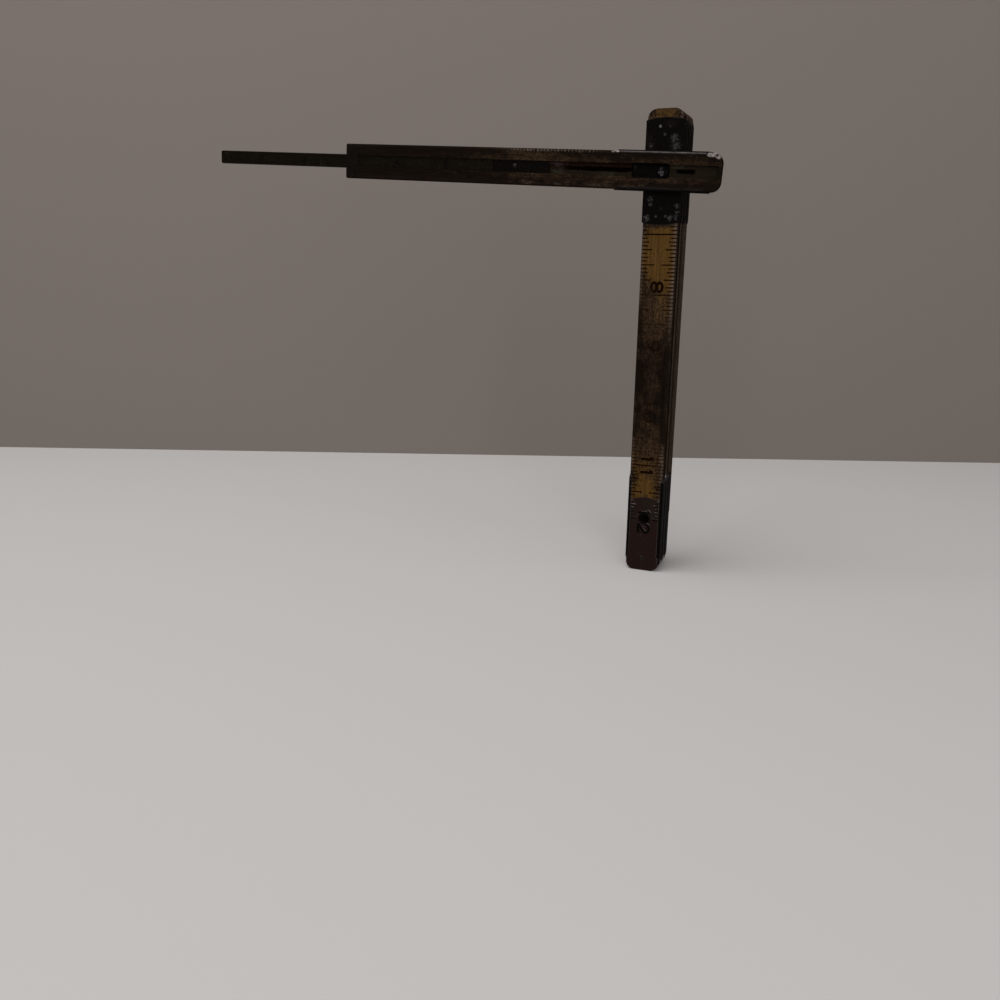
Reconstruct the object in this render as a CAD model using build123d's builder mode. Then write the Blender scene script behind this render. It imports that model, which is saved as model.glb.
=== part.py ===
from build123d import *
from math import cos, radians, sin
import os

os.makedirs("parts", exist_ok=True)

# Folding rule: flat sticks joined end to end by pivots six inches apart.
# All sizes are in millimetres.
# The stack stands on its end along +Z, its faces look along -Y, and the first
# section reaches out towards -X. The origin is the middle of the lower end of
# section 2, on the surface that the stack stands on.

# Sticks
inch = 25.4
section_count = 8
pivot_spacing = 6 * inch
end_overhang = 25.0
stick_width = 15.5
stick_thickness = 2.3
first_stick_thickness = 3.35
corner_radius = 4.2
edge_rounding = 1.0
edge_rounding_share = 0.45
first_section_rise = 3.0

# Joint plates, stamped from sheet, with side flanges curled over the stick
web_thickness = 0.25
plate_end_inset = 3.5
web_bulge = 1.0
web_bend_radius = 0.2
flange_thickness = 0.4
flange_slant = 2.5
lip_rise = 0.2
lip_bend_radius = 1.15

# Pivots
rivet_radius = 2.0
rivet_head_radius = 2.7
rivet_head_height = 0.9
rivet_head_rounding = 0.5
eyelet_radius = 2.9
eyelet_bore_radius = 2.45
eyelet_mouth_rounding = 0.25
rim_radius = 3.5
rim_thickness = 0.25
rim_rounding = 0.1

# Strike plates on the outer faces
strike_thickness = 0.25
strike_reach = 10.4
strike_bulge = 1.8
strike_lip_gap = 0.15
strike_edge_inset = 0.45
strike_end_inset = 0.3

# Pins that hold the plates to the wood
pin_radius = 0.55
pin_depth = 1.2
pin_end_cover = 0.03
pair_pin_inset = 3.5
pair_pin_offset = 2.1
single_pin_inset = 6.7
strike_pin_radius = 0.7
strike_pin_depth = 0.9
strike_pin_inset = 6.0

# End caps
cap_length = 6.2
cap_wall = 0.35

# Slide, and the groove that it runs in
slide_length = 175.6
slide_extension = 73.3
blade_width = 6.15
blade_thickness = 1.3
blade_recess = 0.42
dovetail_taper = 0.4
groove_end_wall = 1.2
floor_slot_width = 2.0
floor_slot_depth = 0.7
floor_slot_before_pivot = 35.0
floor_slot_after_pivot = 14.0
window_width = 6.0
window_pin_distance = 1.8
window_after_pivot = 3.2
window_corner_radius = 0.8
spring_length = 26.8
spring_width = 4.9
spring_thickness = 0.35
spring_recess = 0.4
slide_rivet_radius = 0.7
slide_rivet_head_radius = 1.2
slide_rivet_head_height = 0.25
slide_rivet_from_rear = 15.7

# Clearances
seat_clearance = 0.02
running_clearance = 0.05
rim_clearance = 0.1
facing_clearance = 0.1

# Places worked out from the sizes above
joint_gap = 2 * max(web_thickness, strike_thickness, rim_thickness) + facing_clearance
pitch = stick_thickness + joint_gap
lower_pivot = end_overhang
upper_pivot = lower_pivot + pivot_spacing
stack_front = -stick_thickness / 2
towards_reader = Vector(0, -1, 0)
away_from_reader = Vector(0, 1, 0)
thinnest_stick = min(stick_thickness, first_stick_thickness)
edge_radius = min(edge_rounding, edge_rounding_share * thinnest_stick)
flat_half_width = stick_width / 2 - edge_radius
web_half_length = end_overhang - plate_end_inset
flange_half_length = web_half_length - web_bulge
pair_pin_distance = web_half_length - pair_pin_inset
single_pin_distance = web_half_length - single_pin_inset
strike_pin_distance = end_overhang - strike_pin_inset
groove_depth = blade_recess + blade_thickness + running_clearance
groove_floor = first_stick_thickness - groove_depth - floor_slot_depth
window_before_pivot = single_pin_distance - window_pin_distance


def thickness_of(section):
    """Thickness of one stick: the first is thicker, to hold the slide."""
    return first_stick_thickness if section == 1 else stick_thickness


def pin_depth_in(section):
    """Depth of the plate pins: in the first stick they end short of the slide's groove."""
    return min(pin_depth, groove_floor - pin_end_cover) if section == 1 else pin_depth


def front_of(section):
    """Y of a stick's front face."""
    if section == 1:
        return stack_front - joint_gap - first_stick_thickness
    return stack_front + (section - 2) * pitch


def back_of(section):
    """Y of a stick's back face."""
    return front_of(section) + thickness_of(section)


def reading_direction(section):
    """Direction in which the numbers rise along one stick."""
    if section == 1:
        return Vector(cos(radians(first_section_rise)), 0, -sin(radians(first_section_rise)))
    return Vector(0, 0, -1) if section % 2 == 0 else Vector(0, 0, 1)


def pivot_height(joint):
    """Height of a pivot: odd joints are at the top of the stack."""
    return upper_pivot if joint % 2 else lower_pivot


def start_point(section, y):
    """Where a stick's own six inches begin."""
    if section == 1:
        return Vector(0, y, upper_pivot) - reading_direction(1) * pivot_spacing
    return Vector(0, y, pivot_height(section - 1))


def face_plane(section, y, normal=towards_reader):
    """Plane at the start of a section's six inches, X along the reading direction."""
    return Plane(origin=start_point(section, y), x_dir=reading_direction(section), z_dir=normal)


def across_plane(plane, distance=0):
    """Plane square to the stick: X across its width, Y up from the given plane."""
    origin = plane.origin + plane.x_dir * distance
    return Plane(origin=origin, x_dir=plane.y_dir, z_dir=plane.x_dir)


def joint_plane(section, at_end):
    """Plane on the face that meets the neighbour, at the pivot, Z into the stick."""
    if at_end:
        plane = face_plane(section, back_of(section), towards_reader)
        return Plane(plane.origin + plane.x_dir * pivot_spacing, plane.x_dir, plane.z_dir)
    return face_plane(section, front_of(section), away_from_reader)


def outer_plane(section, at_end):
    """Plane on the face away from the neighbour, at the pivot, Z out, X to the near end."""
    if at_end:
        plane = face_plane(section, front_of(section), towards_reader)
        return Plane(plane.origin + plane.x_dir * pivot_spacing, plane.x_dir, plane.z_dir)
    plane = face_plane(section, back_of(section), away_from_reader)
    return Plane(plane.origin, plane.x_dir * -1, plane.z_dir)


def shank_radius(joint):
    """Radius of the pivot: a solid rivet at the first joint, hollow eyelets elsewhere."""
    return rivet_radius if joint == 1 else eyelet_radius


def pivot_holder(joint):
    """Section that holds the pivot still."""
    return 2 if joint == 1 else joint


def hole_radius(section, joint):
    """Radius of the hole for a pivot in one section's wood and plate."""
    held = pivot_holder(joint) == section
    return shank_radius(joint) + (seat_clearance if held else running_clearance)


def section_joints(section):
    """Joints of one section, as (joint, at_end) pairs."""
    joints = []
    if section > 1:
        joints.append((section - 1, False))
    if section < section_count:
        joints.append((section, True))
    return joints


def plate_pin_points():
    """Places of the pins of one joint plate, seen from its pivot."""
    points = []
    for side in (-1, 1):
        points.append((side * single_pin_distance, 0))
        points.append((side * pair_pin_distance, -pair_pin_offset))
        points.append((side * pair_pin_distance, pair_pin_offset))
    return points


def groove_outline(side_clearance, top, bottom):
    """Corners of the dovetail that the slide and its groove share."""
    low_half = blade_width / 2 + side_clearance
    slope = dovetail_taper / blade_thickness
    blade_bottom = -(blade_recess + blade_thickness)
    return [
        (low_half - slope * (bottom - blade_bottom), bottom),
        (low_half - slope * (top - blade_bottom), top),
        (-low_half + slope * (top - blade_bottom), top),
        (-low_half + slope * (bottom - blade_bottom), bottom),
    ]


# Sticks: straight-grained wood, rounded along their edges and at their corners
def make_stick(section):
    front = face_plane(section, front_of(section))
    back = face_plane(section, back_of(section))
    thickness = thickness_of(section)
    first = section == 1
    last = section == section_count
    start = cap_length if first else -end_overhang
    end = pivot_spacing - cap_length if last else pivot_spacing + end_overhang
    middle_height = thickness / 2
    with BuildPart() as stick:
        with BuildSketch(across_plane(back, start)):
            with Locations((0, middle_height)):
                RectangleRounded(stick_width, thickness, edge_radius)
        extrude(amount=end - start)
        with BuildSketch(back):
            with Locations(((start + end) / 2, 0)):
                plan = Rectangle(end - start, stick_width)
            ends = plan.vertices().group_by(Axis.X)
            rounded = ends[-1] if first else ends[0] if last else ends[0] + ends[-1]
            fillet(rounded, corner_radius)
        extrude(amount=thickness, mode=Mode.INTERSECT)
        if first or last:
            with BuildSketch(across_plane(back, 0 if first else end)):
                with Locations((0, middle_height)):
                    RectangleRounded(
                        stick_width - 2 * cap_wall,
                        thickness - 2 * cap_wall,
                        edge_radius - cap_wall,
                    )
            extrude(amount=cap_length)
        if first:
            with BuildSketch(across_plane(front)):
                with BuildLine():
                    Polyline(
                        *groove_outline(running_clearance, 0, -groove_depth),
                        close=True,
                    )
                make_face()
            extrude(amount=pivot_spacing + end_overhang - groove_end_wall, mode=Mode.SUBTRACT)
            with BuildSketch(front.offset(-groove_depth)):
                slot_length = floor_slot_before_pivot + floor_slot_after_pivot
                slot_middle = pivot_spacing + (floor_slot_after_pivot - floor_slot_before_pivot) / 2
                with Locations((slot_middle, 0)):
                    SlotOverall(slot_length, floor_slot_width)
            extrude(amount=-floor_slot_depth, mode=Mode.SUBTRACT)
            with BuildSketch(back):
                window_length = window_before_pivot + window_after_pivot
                window_middle = pivot_spacing + (window_after_pivot - window_before_pivot) / 2
                with Locations((window_middle, 0)):
                    RectangleRounded(window_length, window_width, window_corner_radius)
            extrude(amount=thickness, mode=Mode.SUBTRACT)
        for joint, at_end in section_joints(section):
            seat = joint_plane(section, at_end)
            if not first:
                with BuildSketch(seat):
                    Circle(hole_radius(section, joint))
                extrude(amount=thickness, mode=Mode.SUBTRACT)
                with BuildSketch(outer_plane(section, at_end)):
                    with Locations((strike_pin_distance, 0)):
                        Circle(strike_pin_radius + seat_clearance)
                extrude(amount=-strike_pin_depth, mode=Mode.SUBTRACT)
            with BuildSketch(seat):
                with Locations(*plate_pin_points()):
                    Circle(pin_radius + seat_clearance)
            extrude(amount=pin_depth_in(section), mode=Mode.SUBTRACT)
    name = f"stick_{section}"
    stick.part.label = name
    export_step(stick.part, f"parts/{name}.step")


# Joint plates: sheet steel, one on each stick of a joint, curled over its edges
def make_joint_plate(joint, section, at_end):
    seat = joint_plane(section, at_end)
    thickness = thickness_of(section)
    inside = stick_width / 2
    outside = inside + flange_thickness
    lip_top = thickness + lip_rise
    lip_half_length = flange_half_length - flange_slant
    with BuildPart() as plate:
        with BuildSketch(across_plane(seat, -web_half_length)):
            with Locations((0, -web_thickness / 2)):
                web = Rectangle(2 * outside, web_thickness)
            fillet(web.vertices().group_by(Axis.Y)[0], web_bend_radius)
            with BuildLine():
                Line((inside, 0), (inside, thickness - edge_radius))
                CenterArc((flat_half_width, thickness - edge_radius), edge_radius, 0, 90)
                Line((flat_half_width, thickness), (flat_half_width, lip_top))
                Line((flat_half_width, lip_top), (outside - lip_bend_radius, lip_top))
                CenterArc((outside - lip_bend_radius, lip_top - lip_bend_radius), lip_bend_radius, 0, 90)
                Line((outside, lip_top - lip_bend_radius), (outside, 0))
                Line((outside, 0), (inside, 0))
            flange = make_face()
            mirror(flange, about=Plane.YZ)
        extrude(amount=2 * web_half_length)
        with BuildSketch(seat.offset(-web_thickness)):
            with BuildLine():
                low_corner = (flange_half_length, -outside)
                high_corner = (flange_half_length, outside)
                low_far = (-flange_half_length, -outside)
                high_far = (-flange_half_length, outside)
                ThreePointArc(low_corner, (web_half_length, 0), high_corner)
                Line(high_corner, high_far)
                ThreePointArc(high_far, (-web_half_length, 0), low_far)
                Line(low_far, low_corner)
            make_face()
        extrude(amount=web_thickness + lip_top, mode=Mode.INTERSECT)
        with BuildSketch(Plane(seat.origin, seat.x_dir, seat.y_dir * -1)):
            with BuildLine():
                Polyline(
                    (flange_half_length, 0),
                    (lip_half_length, lip_top),
                    (web_half_length, lip_top),
                    (web_half_length, 0),
                    close=True,
                )
            slant = make_face()
            mirror(slant, about=Plane.YZ)
        extrude(amount=outside, both=True, mode=Mode.SUBTRACT)
        with BuildSketch(seat):
            Circle(hole_radius(section, joint))
            with Locations(*plate_pin_points()):
                Circle(pin_radius + seat_clearance)
        extrude(amount=-web_thickness, mode=Mode.SUBTRACT)
    name = f"joint_plate_{joint}_{'front' if at_end else 'rear'}"
    plate.part.label = name
    export_step(plate.part, f"parts/{name}.step")


# Strike plates: thin sheet that takes the rubbing where folded sticks pass each other
def make_strike_plate(joint, section, at_end):
    outer = outer_plane(section, at_end)
    narrow = flat_half_width - strike_lip_gap
    wide = stick_width / 2 - strike_edge_inset
    lip_end = flange_half_length - flange_slant + strike_lip_gap
    far = end_overhang - strike_end_inset
    shoulder = strike_reach - strike_bulge
    with BuildPart() as strike:
        with BuildSketch(outer):
            with BuildLine():
                ThreePointArc((-shoulder, -narrow), (-strike_reach, 0), (-shoulder, narrow))
                Polyline(
                    (-shoulder, narrow),
                    (lip_end, narrow),
                    (lip_end + wide - narrow, wide),
                    (far, wide),
                    (far, -wide),
                    (lip_end + wide - narrow, -wide),
                    (lip_end, -narrow),
                    (-shoulder, -narrow),
                )
            sheet = make_face()
            fillet(sheet.vertices().group_by(Axis.X)[-1], corner_radius - strike_end_inset)
            Circle(rim_radius + rim_clearance, mode=Mode.SUBTRACT)
            with Locations((strike_pin_distance, 0)):
                Circle(strike_pin_radius + seat_clearance, mode=Mode.SUBTRACT)
        extrude(amount=strike_thickness)
    name = f"strike_plate_{joint}_{'front' if at_end else 'rear'}"
    strike.part.label = name
    export_step(strike.part, f"parts/{name}.step")


# Pins: headless nails through the plates into the wood, flush on the outside
def make_pins(section):
    with BuildPart() as pins:
        for joint, at_end in section_joints(section):
            with BuildSketch(joint_plane(section, at_end).offset(-web_thickness)):
                with Locations(*plate_pin_points()):
                    Circle(pin_radius)
            extrude(amount=web_thickness + pin_depth_in(section))
            if section > 1:
                with BuildSketch(outer_plane(section, at_end).offset(strike_thickness)):
                    with Locations((strike_pin_distance, 0)):
                        Circle(strike_pin_radius)
                extrude(amount=-strike_thickness - strike_pin_depth)
    name = f"plate_pins_{section}"
    pins.part.label = name
    export_step(pins.part, f"parts/{name}.step")


def disc_plane(joint, y):
    """Plane across a pivot at the given depth, Z away from the reader."""
    return Plane(origin=(0, y, pivot_height(joint)), x_dir=(1, 0, 0), z_dir=(0, 1, 0))


# First pivot: a solid rivet, headed inside the first stick's window
def make_pivot_rivet():
    head_seat = back_of(1) - running_clearance
    tail = back_of(2) + rim_thickness
    with BuildPart() as rivet:
        with BuildSketch(disc_plane(1, head_seat - rivet_head_height)):
            Circle(rivet_head_radius)
        extrude(amount=rivet_head_height)
        fillet(rivet.edges().sort_by(Axis.Y)[0], rivet_head_rounding)
        with BuildSketch(disc_plane(1, head_seat)):
            Circle(rivet_radius)
        extrude(amount=tail - head_seat)
        with BuildSketch(disc_plane(1, back_of(2))):
            Circle(rim_radius)
        extrude(amount=rim_thickness)
        fillet(rivet.edges().sort_by(Axis.Y)[-1], rim_rounding)
    name = "pivot_rivet_1"
    rivet.part.label = name
    export_step(rivet.part, f"parts/{name}.step")


# Other pivots: hollow eyelets rolled over at both ends
def make_pivot_eyelet(joint):
    front = front_of(joint)
    back = back_of(joint + 1)
    with BuildPart() as eyelet:
        with BuildSketch(disc_plane(joint, front - rim_thickness)):
            Circle(eyelet_radius)
        extrude(amount=back - front + 2 * rim_thickness)
        with BuildSketch(disc_plane(joint, front - rim_thickness)):
            Circle(rim_radius)
        extrude(amount=rim_thickness)
        with BuildSketch(disc_plane(joint, back + rim_thickness)):
            Circle(rim_radius)
        extrude(amount=running_clearance - rim_thickness)
        outlines = eyelet.edges().sort_by(Axis.Y)
        fillet([outlines[0], outlines[-1]], rim_rounding)
        with BuildSketch(disc_plane(joint, front - rim_thickness)):
            Circle(eyelet_bore_radius)
        extrude(amount=back - front + 2 * rim_thickness, mode=Mode.SUBTRACT)
        circles = eyelet.edges().filter_by(GeomType.CIRCLE)
        mouths = circles.filter_by(lambda edge: abs(edge.radius - eyelet_bore_radius) < seat_clearance)
        fillet(mouths, eyelet_mouth_rounding)
    name = f"pivot_eyelet_{joint}"
    eyelet.part.label = name
    export_step(eyelet.part, f"parts/{name}.step")


# End caps: sleeves let in flush over the two free ends of the rule
def make_end_cap(section, name):
    back = face_plane(section, back_of(section))
    thickness = thickness_of(section)
    start = 0 if section == 1 else pivot_spacing - cap_length
    with BuildPart() as cap:
        with BuildSketch(across_plane(back, start)):
            with Locations((0, thickness / 2)):
                RectangleRounded(stick_width, thickness, edge_radius)
                RectangleRounded(
                    stick_width - 2 * cap_wall,
                    thickness - 2 * cap_wall,
                    edge_radius - cap_wall,
                    mode=Mode.SUBTRACT,
                )
        extrude(amount=cap_length)
    cap.part.label = name
    export_step(cap.part, f"parts/{name}.step")


for section in range(1, section_count + 1):
    make_stick(section)
    make_pins(section)
    for joint, at_end in section_joints(section):
        make_joint_plate(joint, section, at_end)
        if section > 1:
            make_strike_plate(joint, section, at_end)

make_pivot_rivet()
for joint in range(2, section_count):
    make_pivot_eyelet(joint)

make_end_cap(1, "zero_end_cap")
make_end_cap(section_count, "far_end_cap")

# Slide: a bevelled blade in the first stick's groove, with a flat spring on its tail
slide_front = face_plane(1, front_of(1))
slide_rear = slide_length - slide_extension
blade_bottom = -(blade_recess + blade_thickness)
spring_floor = -(blade_recess + spring_recess)
spring_top = spring_floor + spring_thickness

with BuildPart() as slide_blade:
    with BuildSketch(across_plane(slide_front, -slide_extension)):
        with BuildLine():
            Polyline(*groove_outline(0, -blade_recess, blade_bottom), close=True)
        make_face()
    extrude(amount=slide_length)
    with BuildSketch(slide_front.offset(spring_floor)):
        with Locations((slide_rear - spring_length / 2, 0)):
            Rectangle(spring_length, blade_width)
    extrude(amount=spring_recess, mode=Mode.SUBTRACT)
    with BuildSketch(slide_front.offset(blade_bottom)):
        with Locations((slide_rear - slide_rivet_from_rear, 0)):
            Circle(slide_rivet_radius + seat_clearance)
    extrude(amount=blade_thickness, mode=Mode.SUBTRACT)
slide_blade.part.label = "slide_blade"
export_step(slide_blade.part, "parts/slide_blade.step")

with BuildPart() as slide_spring:
    with BuildSketch(slide_front.offset(spring_floor)):
        with Locations((slide_rear - spring_length / 2, 0)):
            RectangleRounded(spring_length - 2 * running_clearance, spring_width, window_corner_radius)
        with Locations((slide_rear - slide_rivet_from_rear, 0)):
            Circle(slide_rivet_radius + seat_clearance, mode=Mode.SUBTRACT)
    extrude(amount=spring_thickness)
slide_spring.part.label = "slide_spring"
export_step(slide_spring.part, "parts/slide_spring.step")

with BuildPart() as slide_rivet:
    with BuildSketch(slide_front.offset(blade_bottom)):
        with Locations((slide_rear - slide_rivet_from_rear, 0)):
            Circle(slide_rivet_radius)
    extrude(amount=spring_top - blade_bottom)
    with BuildSketch(slide_front.offset(spring_top)):
        with Locations((slide_rear - slide_rivet_from_rear, 0)):
            Circle(slide_rivet_head_radius)
    extrude(amount=slide_rivet_head_height)
    fillet(slide_rivet.edges().sort_by(Axis.Y)[0], slide_rivet_head_height / 2)
slide_rivet.part.label = "slide_rivet"
export_step(slide_rivet.part, "parts/slide_rivet.step")
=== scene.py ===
import math
import bmesh
import bpy
from mathutils import Matrix, Vector


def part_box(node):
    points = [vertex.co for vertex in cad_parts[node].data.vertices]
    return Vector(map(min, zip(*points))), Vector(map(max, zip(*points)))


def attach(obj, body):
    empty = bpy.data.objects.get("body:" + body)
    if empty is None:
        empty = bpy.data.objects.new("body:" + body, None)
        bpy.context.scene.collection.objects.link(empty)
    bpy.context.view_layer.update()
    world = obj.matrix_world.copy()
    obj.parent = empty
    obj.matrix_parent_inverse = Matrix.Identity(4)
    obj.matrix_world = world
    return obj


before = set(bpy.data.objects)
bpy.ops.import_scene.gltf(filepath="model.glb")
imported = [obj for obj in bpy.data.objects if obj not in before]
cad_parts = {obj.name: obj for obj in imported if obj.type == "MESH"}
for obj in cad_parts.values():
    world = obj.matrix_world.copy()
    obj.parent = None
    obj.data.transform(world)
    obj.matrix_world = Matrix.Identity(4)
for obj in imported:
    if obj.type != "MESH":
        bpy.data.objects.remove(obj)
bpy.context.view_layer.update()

# The room, which is not part of the rule: a pale floor that runs to a grey wall behind,
# wide soft lamps overhead and in front, and the camera at the photograph's viewing angle.


def add_node(tree, kind, inputs=None, **settings):
    """A node: a socket among its inputs is linked, anything else is set as a constant."""
    made = tree.nodes.new(kind)
    for name, value in settings.items():
        setattr(made, name, value)
    for name, value in (inputs or {}).items():
        if isinstance(value, bpy.types.NodeSocket):
            tree.links.new(value, made.inputs[name])
        else:
            made.inputs[name].default_value = value
    return made


def new_material(name):
    """A material with an empty tree and its output node."""
    made = bpy.data.materials.new(name)
    made.use_nodes = True
    made.node_tree.nodes.clear()
    return made, made.node_tree, add_node(made.node_tree, "ShaderNodeOutputMaterial")


def flat_sheet(name, corners, finish):
    """A single four-sided face of the room."""
    mesh = bpy.data.meshes.new(name)
    mesh.from_pydata(corners, [], [(0, 1, 2, 3)])
    mesh.materials.append(finish)
    made = bpy.data.objects.new(name, mesh)
    bpy.context.scene.collection.objects.link(made)


def matt_paint(name, colour):
    """Plain matt paint, clear when it is looked at from behind."""
    made, tree, output = new_material(name)
    paint = add_node(tree, "ShaderNodeBsdfDiffuse", {"Color": (*colour, 1)})
    clear = add_node(tree, "ShaderNodeBsdfTransparent")
    side = add_node(tree, "ShaderNodeNewGeometry").outputs["Backfacing"]
    by_side = add_node(tree, "ShaderNodeMixShader", {0: side, 1: paint.outputs[0], 2: clear.outputs[0]})
    tree.links.new(by_side.outputs[0], output.inputs["Surface"])
    return made


floor_colour = (0.53, 0.51, 0.50)
wall_colour = (0.19, 0.165, 0.148)
wall_foot_left = Vector((-0.4193, 0.1091, 0))
wall_foot_right = Vector((0.0973, 0.3114, 0))
wall_run = (wall_foot_right - wall_foot_left).normalized()
wall_beyond_view = 3
wall_left = wall_foot_left - wall_run * wall_beyond_view
wall_right = wall_foot_right + wall_run * wall_beyond_view
wall_height = Vector((0, 0, 2.5))
floor_half = 5
flat_sheet(
    "floor",
    [(-floor_half, -floor_half, 0), (floor_half, -floor_half, 0),
     (floor_half, floor_half, 0), (-floor_half, floor_half, 0)],
    matt_paint("floor_paint", floor_colour),
)
flat_sheet(
    "wall",
    [wall_left, wall_right, wall_right + wall_height, wall_left + wall_height],
    matt_paint("wall_paint", wall_colour),
)


def soft_lamp(name, place, aim, side, watts):
    """A square area lamp that faces its aim."""
    data = bpy.data.lights.new(name, "AREA")
    data.size = side
    data.energy = watts
    made = bpy.data.objects.new(name, data)
    made.location = place
    made.rotation_euler = (Vector(aim) - Vector(place)).to_track_quat("-Z", "Y").to_euler()
    bpy.context.scene.collection.objects.link(made)


lamp_aim = (0, 0, 0.1)
soft_lamp("overhead_lamp", (-0.35, -0.35, 1.25), lamp_aim, side=0.9, watts=10.5)
soft_lamp("front_lamp", (0.5, -1.5, 0.7), lamp_aim, side=1.2, watts=14)

world = bpy.data.worlds.new("room_light")
bpy.context.scene.world = world
world.use_nodes = True
tree = world.node_tree
tree.nodes.clear()
ambient_strength = 0.35
seen = add_node(tree, "ShaderNodeLightPath").outputs["Is Camera Ray"]
ambient = add_node(tree, "ShaderNodeBackground", {"Color": (1, 1, 1, 1), "Strength": ambient_strength})
backdrop = add_node(tree, "ShaderNodeBackground", {"Color": (*floor_colour, 1), "Strength": 1})
by_ray = add_node(tree, "ShaderNodeMixShader", {0: seen, 1: ambient.outputs[0], 2: backdrop.outputs[0]})
add_node(tree, "ShaderNodeOutputWorld", {"Surface": by_ray.outputs[0]})

camera_data = bpy.data.cameras.new("camera")
camera_data.sensor_width = 36
camera_data.lens = 32.85
camera_data.clip_start = 0.01
camera = bpy.data.objects.new("camera", camera_data)
bpy.context.scene.collection.objects.link(camera)
bpy.context.scene.camera = camera
camera_azimuth = math.radians(22.223)
camera_tilt_down = math.radians(14.806)
camera_roll = math.radians(0.746)
camera.rotation_euler = (
    Matrix.Rotation(camera_azimuth, 3, "Z")
    @ Matrix.Rotation(math.radians(90) - camera_tilt_down, 3, "X")
    @ Matrix.Rotation(camera_roll, 3, "Z")
).to_euler()
camera.location = (0.09225, -0.40412, 0.14103)
bpy.context.scene.view_settings.view_transform = "Standard"

# Eight wooden sticks, cut from straight-grained hardwood, planed, rounded along their edges
# and varnished. Handling has worn the varnish: it is honey-coloured where it is clean, brown to
# black and speckled where dirt has worked in, and rubbed bare in places along the edges. Part of
# the black on the narrow sides and beside the joint plates is painted shade, and the palest
# spots on the edges are painted highlights.
mm = 0.001
section_count = 8
inch = 25.4 * mm
inches_per_section = 6
pivot_spacing = inches_per_section * inch
stick_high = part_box("stick_2")[1]
stick_half_width = stick_high.x
stick_length = stick_high.z
lower_pivot = (stick_length - pivot_spacing) / 2
upper_pivot = lower_pivot + pivot_spacing
arm_rise = math.radians(3.0)
edge_rounding = 1.0 * mm
flat_half_width = stick_half_width - edge_rounding


def calculate(tree, operation, first, second=0.5, third=0.5):
    """Result of a Math node."""
    made = add_node(tree, "ShaderNodeMath", {0: first, 1: second, 2: third}, operation=operation)
    return made.outputs[0]


def blend_colours(tree, share, first, second):
    """First colour where share is 0, second where it is 1."""
    first = first if isinstance(first, bpy.types.NodeSocket) else (*first, 1)
    second = second if isinstance(second, bpy.types.NodeSocket) else (*second, 1)
    made = add_node(tree, "ShaderNodeMix", {0: share, 6: first, 7: second}, data_type="RGBA")
    return made.outputs[2]


def fade(tree, value, start, end, low=0.0, high=1.0):
    """Smooth step of a value between start and end."""
    made = add_node(
        tree,
        "ShaderNodeMapRange",
        {0: value, 1: start, 2: end, 3: low, 4: high},
        interpolation_type="SMOOTHSTEP",
    )
    return made.outputs[0]


def squeezed_along(tree, where, stretch):
    """Coordinates squeezed along X, so that what is drawn on them comes out longer by stretch."""
    made = add_node(
        tree, "ShaderNodeVectorMath", {0: where, 1: (1 / stretch, 1, 1)}, operation="MULTIPLY"
    )
    return made.outputs[0]


def stretched_noise(tree, where, size, stretch=1.0, detail=3.0, roughness=0.55):
    """Noise with features of the given size, longer by stretch along the piece's X."""
    squeezed = squeezed_along(tree, where, stretch)
    made = add_node(
        tree,
        "ShaderNodeTexNoise",
        {"Vector": squeezed, "Scale": 1 / size, "Detail": detail, "Roughness": roughness},
    )
    return made.outputs[0]


def new_group(name, inputs, outputs):
    """A shader node group with its ends; inputs and outputs are names with socket types."""
    tree = bpy.data.node_groups.new(name, "ShaderNodeTree")
    for socket, kind in inputs.items():
        tree.interface.new_socket(socket, in_out="INPUT", socket_type=kind)
    for socket, kind in outputs.items():
        tree.interface.new_socket(socket, in_out="OUTPUT", socket_type=kind)
    return tree, add_node(tree, "NodeGroupInput").outputs


honey = (0.075, 0.0385, 0.0096)
warm_brown = (0.0335, 0.0193, 0.0102)
old_dirt = (0.0074, 0.0048, 0.0035)
tan_fleck = (0.072, 0.048, 0.028)
# The narrow sides: black for dirt and for painted shade between the sticks, lighter where rubbed.
side_dirt_and_shade = (0.0024, 0.0014, 0.0011)
side_rubbed = (0.047, 0.033, 0.024)
bare_wood = (0.105, 0.077, 0.061)
wood_group, given = new_group(
    "worn_wood",
    {"Where": "NodeSocketVector", "Clean": "NodeSocketFloat", "Side": "NodeSocketFloat"},
    {"Colour": "NodeSocketColor", "Roughness": "NodeSocketFloat", "Height": "NodeSocketFloat",
     "Level": "NodeSocketFloat"},
)
where = given["Where"]
drift = stretched_noise(wood_group, where, 15 * mm, stretch=1.6)
mottle = stretched_noise(wood_group, where, 2.4 * mm, stretch=1.6, detail=5, roughness=0.68)
grain = stretched_noise(wood_group, where, 0.5 * mm, stretch=24)
pores = stretched_noise(wood_group, where, 0.5 * mm, stretch=1.7, roughness=0.65)
place = add_node(wood_group, "ShaderNodeSeparateXYZ", {0: where})
off_centre = calculate(wood_group, "ABSOLUTE", place.outputs["Z"])
# How clean the varnish is: black dirt at 0, brown at 0.5, honey from 0.8; in one place it is lowered as a
# painted shadow. Dirtier towards the edges.
level = calculate(wood_group, "MULTIPLY_ADD", drift, 0.9, given["Clean"])
level = calculate(wood_group, "MULTIPLY_ADD", mottle, 0.9, level)
dirtier = fade(wood_group, off_centre, 3.0 * mm, 7.2 * mm, low=0.86, high=1.04)
level = calculate(wood_group, "SUBTRACT", level, dirtier)
colour = blend_colours(wood_group, fade(wood_group, level, 0.02, 0.5), old_dirt, warm_brown)
colour = blend_colours(wood_group, fade(wood_group, level, 0.42, 0.8), colour, honey)
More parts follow.
